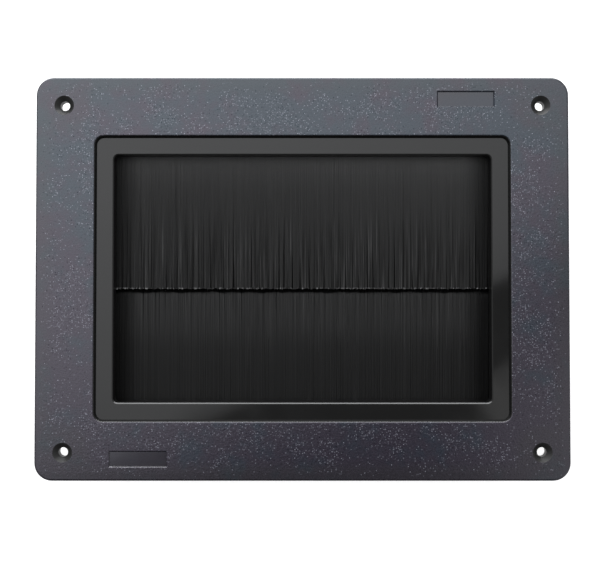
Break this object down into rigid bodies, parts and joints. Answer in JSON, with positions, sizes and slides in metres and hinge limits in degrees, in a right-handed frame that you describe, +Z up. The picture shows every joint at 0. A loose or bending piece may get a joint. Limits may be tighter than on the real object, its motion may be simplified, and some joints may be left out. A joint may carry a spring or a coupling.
{
  "type": "brush cable grommet",
  "caption": "Rectangular floor tile cable grommet: moulded flange with a sunken bezel, a deep collar, and two overlapping strip brushes that close the window round cables.",
  "frame": {"origin": "centre of the four-hole pattern, on the plane where the flange rim bears on the floor", "axes": "+X along the long side, +Y across it towards the upper brush, +Z up out of the floor"},
  "size_m": [0.282, 0.213, 0.03],
  "materials": {
    "abs_grained": "satin",
    "abs_plain": "satin",
    "strip_steel": "satin",
    "wire_steel": "satin",
    "nylon_bristle": "matte",
    "screw_steel": "satin"
  },
  "bodies": {
    "root": {"faceplate": "abs_grained", "rear_retainer": "abs_plain", "upper_brush_channel": "strip_steel", "lower_brush_channel": "strip_steel", "upper_brush_wire": "wire_steel", "lower_brush_wire": "wire_steel", "upper_brush_bristles": "nylon_bristle", "lower_brush_bristles": "nylon_bristle", "retainer_screws": "screw_steel"}
  },
  "joints": []
}
